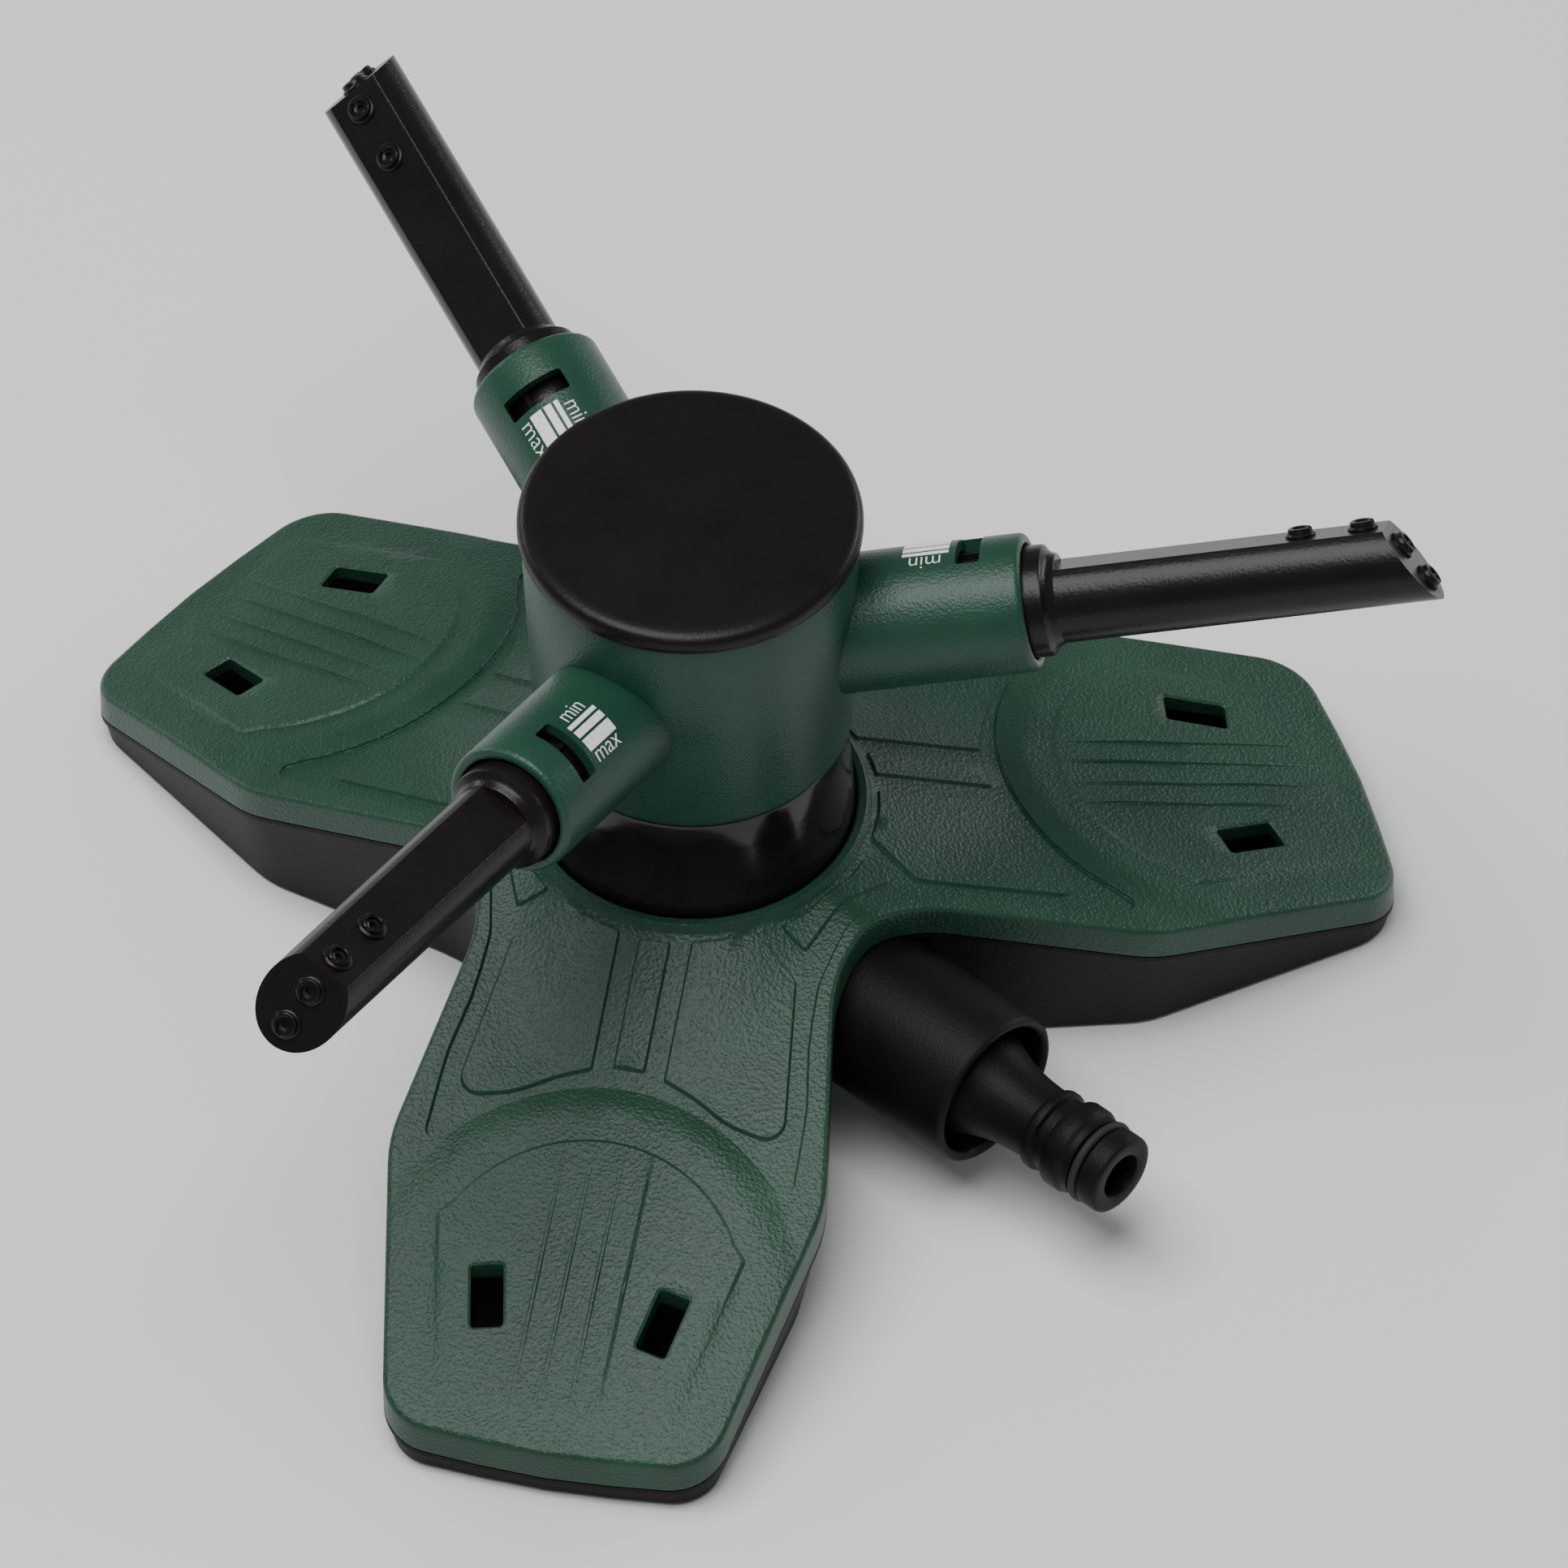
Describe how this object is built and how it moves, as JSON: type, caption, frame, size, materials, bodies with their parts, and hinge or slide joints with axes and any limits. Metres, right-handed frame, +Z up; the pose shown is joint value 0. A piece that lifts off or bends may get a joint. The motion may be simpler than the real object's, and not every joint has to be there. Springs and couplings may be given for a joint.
{
  "type": "three-arm lawn sprinkler",
  "caption": "Lawn sprinkler on a three-lobed base with peg slots: a side hose nipple feeds a spinning rotor whose sloping spray arms each twist to set the watering width.",
  "frame": {"origin": "on the rotor's axis, at the flat underside of the base that stands on the ground", "axes": "+Z up along the rotor's axis; one lobe of the base points along -Y and the hose nipple points 30 degrees below +X, between that lobe and the next"},
  "size_m": [0.2537, 0.2333, 0.1252],
  "materials": {
    "grained_green": "moulded leather grain, semi-matt",
    "smooth_green": "fine moulded texture, semi-gloss",
    "satin_black": "moulded, satin",
    "gloss_black": "polished moulding",
    "arm_black": "moulded, semi-gloss",
    "rubber": "matt nitrile rubber",
    "steel": "zinc-plated or stainless",
    "brass": "turned",
    "acetal": "moulded, satin"
  },
  "bodies": {
    "base": {"base_cover": "grained_green", "base_shell": "satin_black", "turret": "gloss_black", "inlet_housing": "satin_black", "hose_nipple": "satin_black", "nipple_o_ring": "rubber", "inlet_gasket": "rubber", "filter_screen": "steel", "feed_pipe": "satin_black", "feed_o_ring_inner": "rubber", "feed_o_ring_outer": "rubber", "base_screw_1": "steel", "base_screw_2": "steel", "base_screw_3": "steel", "base_screw_4": "steel", "base_screw_5": "steel", "base_screw_6": "steel", "turret_screw_1": "steel", "turret_screw_2": "steel", "turret_screw_3": "steel", "spindle": "brass", "lower_thrust_washer": "acetal", "upper_thrust_washer": "acetal", "spindle_seal": "rubber", "spindle_nut": "brass"},
    "rotor": {"rotor_body": "smooth_green", "rotor_bushing": "acetal", "cap": "satin_black", "cap_gasket": "rubber"},
    "arm_1": {"arm_1_tube": "arm_black", "arm_1_end_plate": "arm_black", "arm_1_o_ring": "rubber", "arm_1_clip": "steel"},
    "arm_2": {"arm_2_tube": "arm_black", "arm_2_end_plate": "arm_black", "arm_2_o_ring": "rubber", "arm_2_clip": "steel"},
    "arm_3": {"arm_3_tube": "arm_black", "arm_3_end_plate": "arm_black", "arm_3_o_ring": "rubber", "arm_3_clip": "steel"}
  },
  "joints": [
    {"name": "rotor_spin", "type": "hinge", "parent": "base", "child": "rotor", "pos_m": [0, 0, 0.0728], "axis": [0, 0, 1], "continuous": true},
    {"name": "arm_1_twist", "type": "hinge", "parent": "rotor", "child": "arm_1", "pos_m": [0, 0, 0.091], "axis": [0.9639, 0.1786, 0.1977], "range_deg": [-34, 16]},
    {"name": "arm_2_twist", "type": "hinge", "parent": "rotor", "child": "arm_2", "pos_m": [0, 0, 0.091], "axis": [-0.6366, 0.7454, 0.1977], "range_deg": [-36, 14]},
    {"name": "arm_3_twist", "type": "hinge", "parent": "rotor", "child": "arm_3", "pos_m": [0, 0, 0.091], "axis": [-0.3272, -0.924, 0.1977], "range_deg": [-16, 34]}
  ]
}
